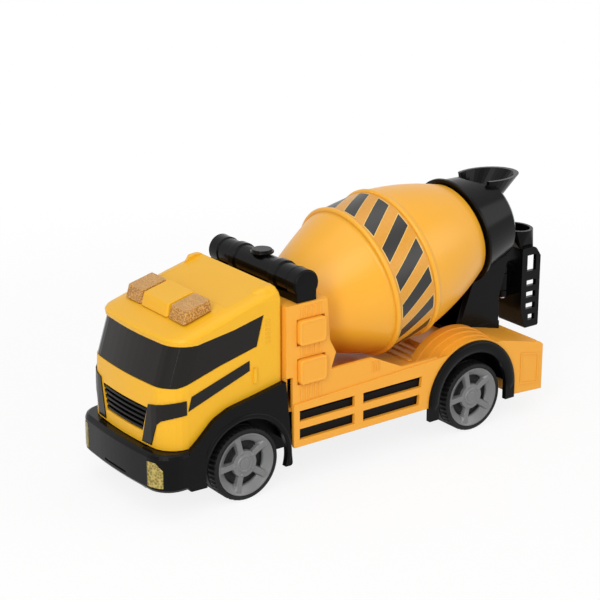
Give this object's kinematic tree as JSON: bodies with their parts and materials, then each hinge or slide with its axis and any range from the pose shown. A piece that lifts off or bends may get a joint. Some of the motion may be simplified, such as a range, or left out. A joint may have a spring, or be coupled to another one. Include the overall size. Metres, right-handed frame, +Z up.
{
  "type": "toy cement mixer truck",
  "caption": "Toy cement mixer truck with a turning drum, a rear hopper and swivelling chute, rolling wheels, push buttons and a battery box.",
  "frame": {"origin": "on the floor under the middle of the truck's length, on its centre plane", "axes": "+X towards the nose, +Y to the truck's left, +Z up"},
  "size_m": [0.2766, 0.085, 0.133],
  "materials": {
    "yellow_plastic": "glossy injection-moulded plastic",
    "bed_plastic": "semi-gloss injection-moulded plastic, slightly more orange",
    "black_plastic": "glossy black moulded plastic",
    "window_plastic": "high-gloss black plastic",
    "silver_plastic": "satin silver paint on plastic",
    "tyre": "soft black plastic tyre",
    "amber_lens": "clear amber plastic with a hammered texture",
    "led_lens": "clear epoxy",
    "fog_lens": "textured yellow plastic",
    "label": "printed foil label with diagonal stripes",
    "steel": "plated steel",
    "battery_wrap": "printed sleeve",
    "board": "solder mask",
    "speaker_black": "paper cone in a plastic frame"
  },
  "bodies": {
    "truck": {"chassis": "black_plastic", "battery_door": "black_plastic", "battery_door_screw": "steel", "battery_cells": "battery_wrap", "battery_contacts": "steel", "housing_screws": "steel", "speaker": "speaker_black", "switch_body": "steel", "bumper": "black_plastic", "fog_lamp_left": "fog_lens", "fog_lamp_right": "fog_lens", "cab_shell": "yellow_plastic", "window_band": "window_plastic", "grille": "black_plastic", "headlamp_trim_left": "window_plastic", "headlamp_trim_right": "window_plastic", "door_stripe_left": "window_plastic", "door_stripe_right": "window_plastic", "beacon_housing": "yellow_plastic", "beacon_lens_left": "amber_lens", "beacon_lens_right": "amber_lens", "beacon_leds": "led_lens", "bed": "bed_plastic", "rear_arch_left": "black_plastic", "rear_arch_right": "black_plastic", "water_tank": "black_plastic", "tank_cap": "black_plastic", "sound_board": "board", "tact_switches": "silver_plastic", "collar_hopper": "black_plastic", "rear_pedestal": "black_plastic", "chute_bracket": "black_plastic"},
    "front_wheels": {"front_axle": "steel", "tyre_front_left": "tyre", "tyre_front_right": "tyre", "rim_front_left": "silver_plastic", "rim_front_right": "silver_plastic"},
    "rear_wheels": {"rear_axle": "steel", "tyre_rear_left": "tyre", "tyre_rear_right": "tyre", "rim_rear_left": "silver_plastic", "rim_rear_right": "silver_plastic"},
    "drum": {"drum_bowl": "yellow_plastic", "drum_label": "label", "drum_cone": "yellow_plastic", "drum_spindle": "steel"},
    "upper_button": {"button_upper": "bed_plastic"},
    "lower_button": {"button_lower": "bed_plastic"},
    "chute_arm": {"chute": "black_plastic", "chute_pin": "steel"},
    "switch_knob": {"power_switch": "black_plastic"}
  },
  "joints": [
    {"name": "front_axle_spin", "type": "hinge", "parent": "truck", "child": "front_wheels", "pos_m": [0.08605, 0, 0.01925], "axis": [0, 1, 0], "continuous": true},
    {"name": "rear_axle_spin", "type": "hinge", "parent": "truck", "child": "rear_wheels", "pos_m": [-0.06395, 0, 0.01925], "axis": [0, 1, 0], "continuous": true},
    {"name": "drum_spin", "type": "hinge", "parent": "truck", "child": "drum", "pos_m": [-0.00805, 0, 0.0859], "axis": [-0.9792, 0, 0.2028], "continuous": true},
    {"name": "button_upper_press", "type": "slide", "parent": "truck", "child": "upper_button", "axis": [0, -1, 0], "range_m": [0, 0.0015], "stiffness_N_per_m": 400, "springref_m": -0.0005},
    {"name": "button_lower_press", "type": "slide", "parent": "truck", "child": "lower_button", "axis": [0, -1, 0], "range_m": [0, 0.0015], "stiffness_N_per_m": 400, "springref_m": -0.0005},
    {"name": "chute_swivel", "type": "hinge", "parent": "truck", "child": "chute_arm", "pos_m": [-0.11875, 0, 0.065], "axis": [0, 0, 1], "range_deg": [-35, 35]},
    {"name": "power_switch_slide", "type": "slide", "parent": "truck", "child": "switch_knob", "axis": [1, 0, 0], "range_m": [-0.002, 0.002]}
  ]
}
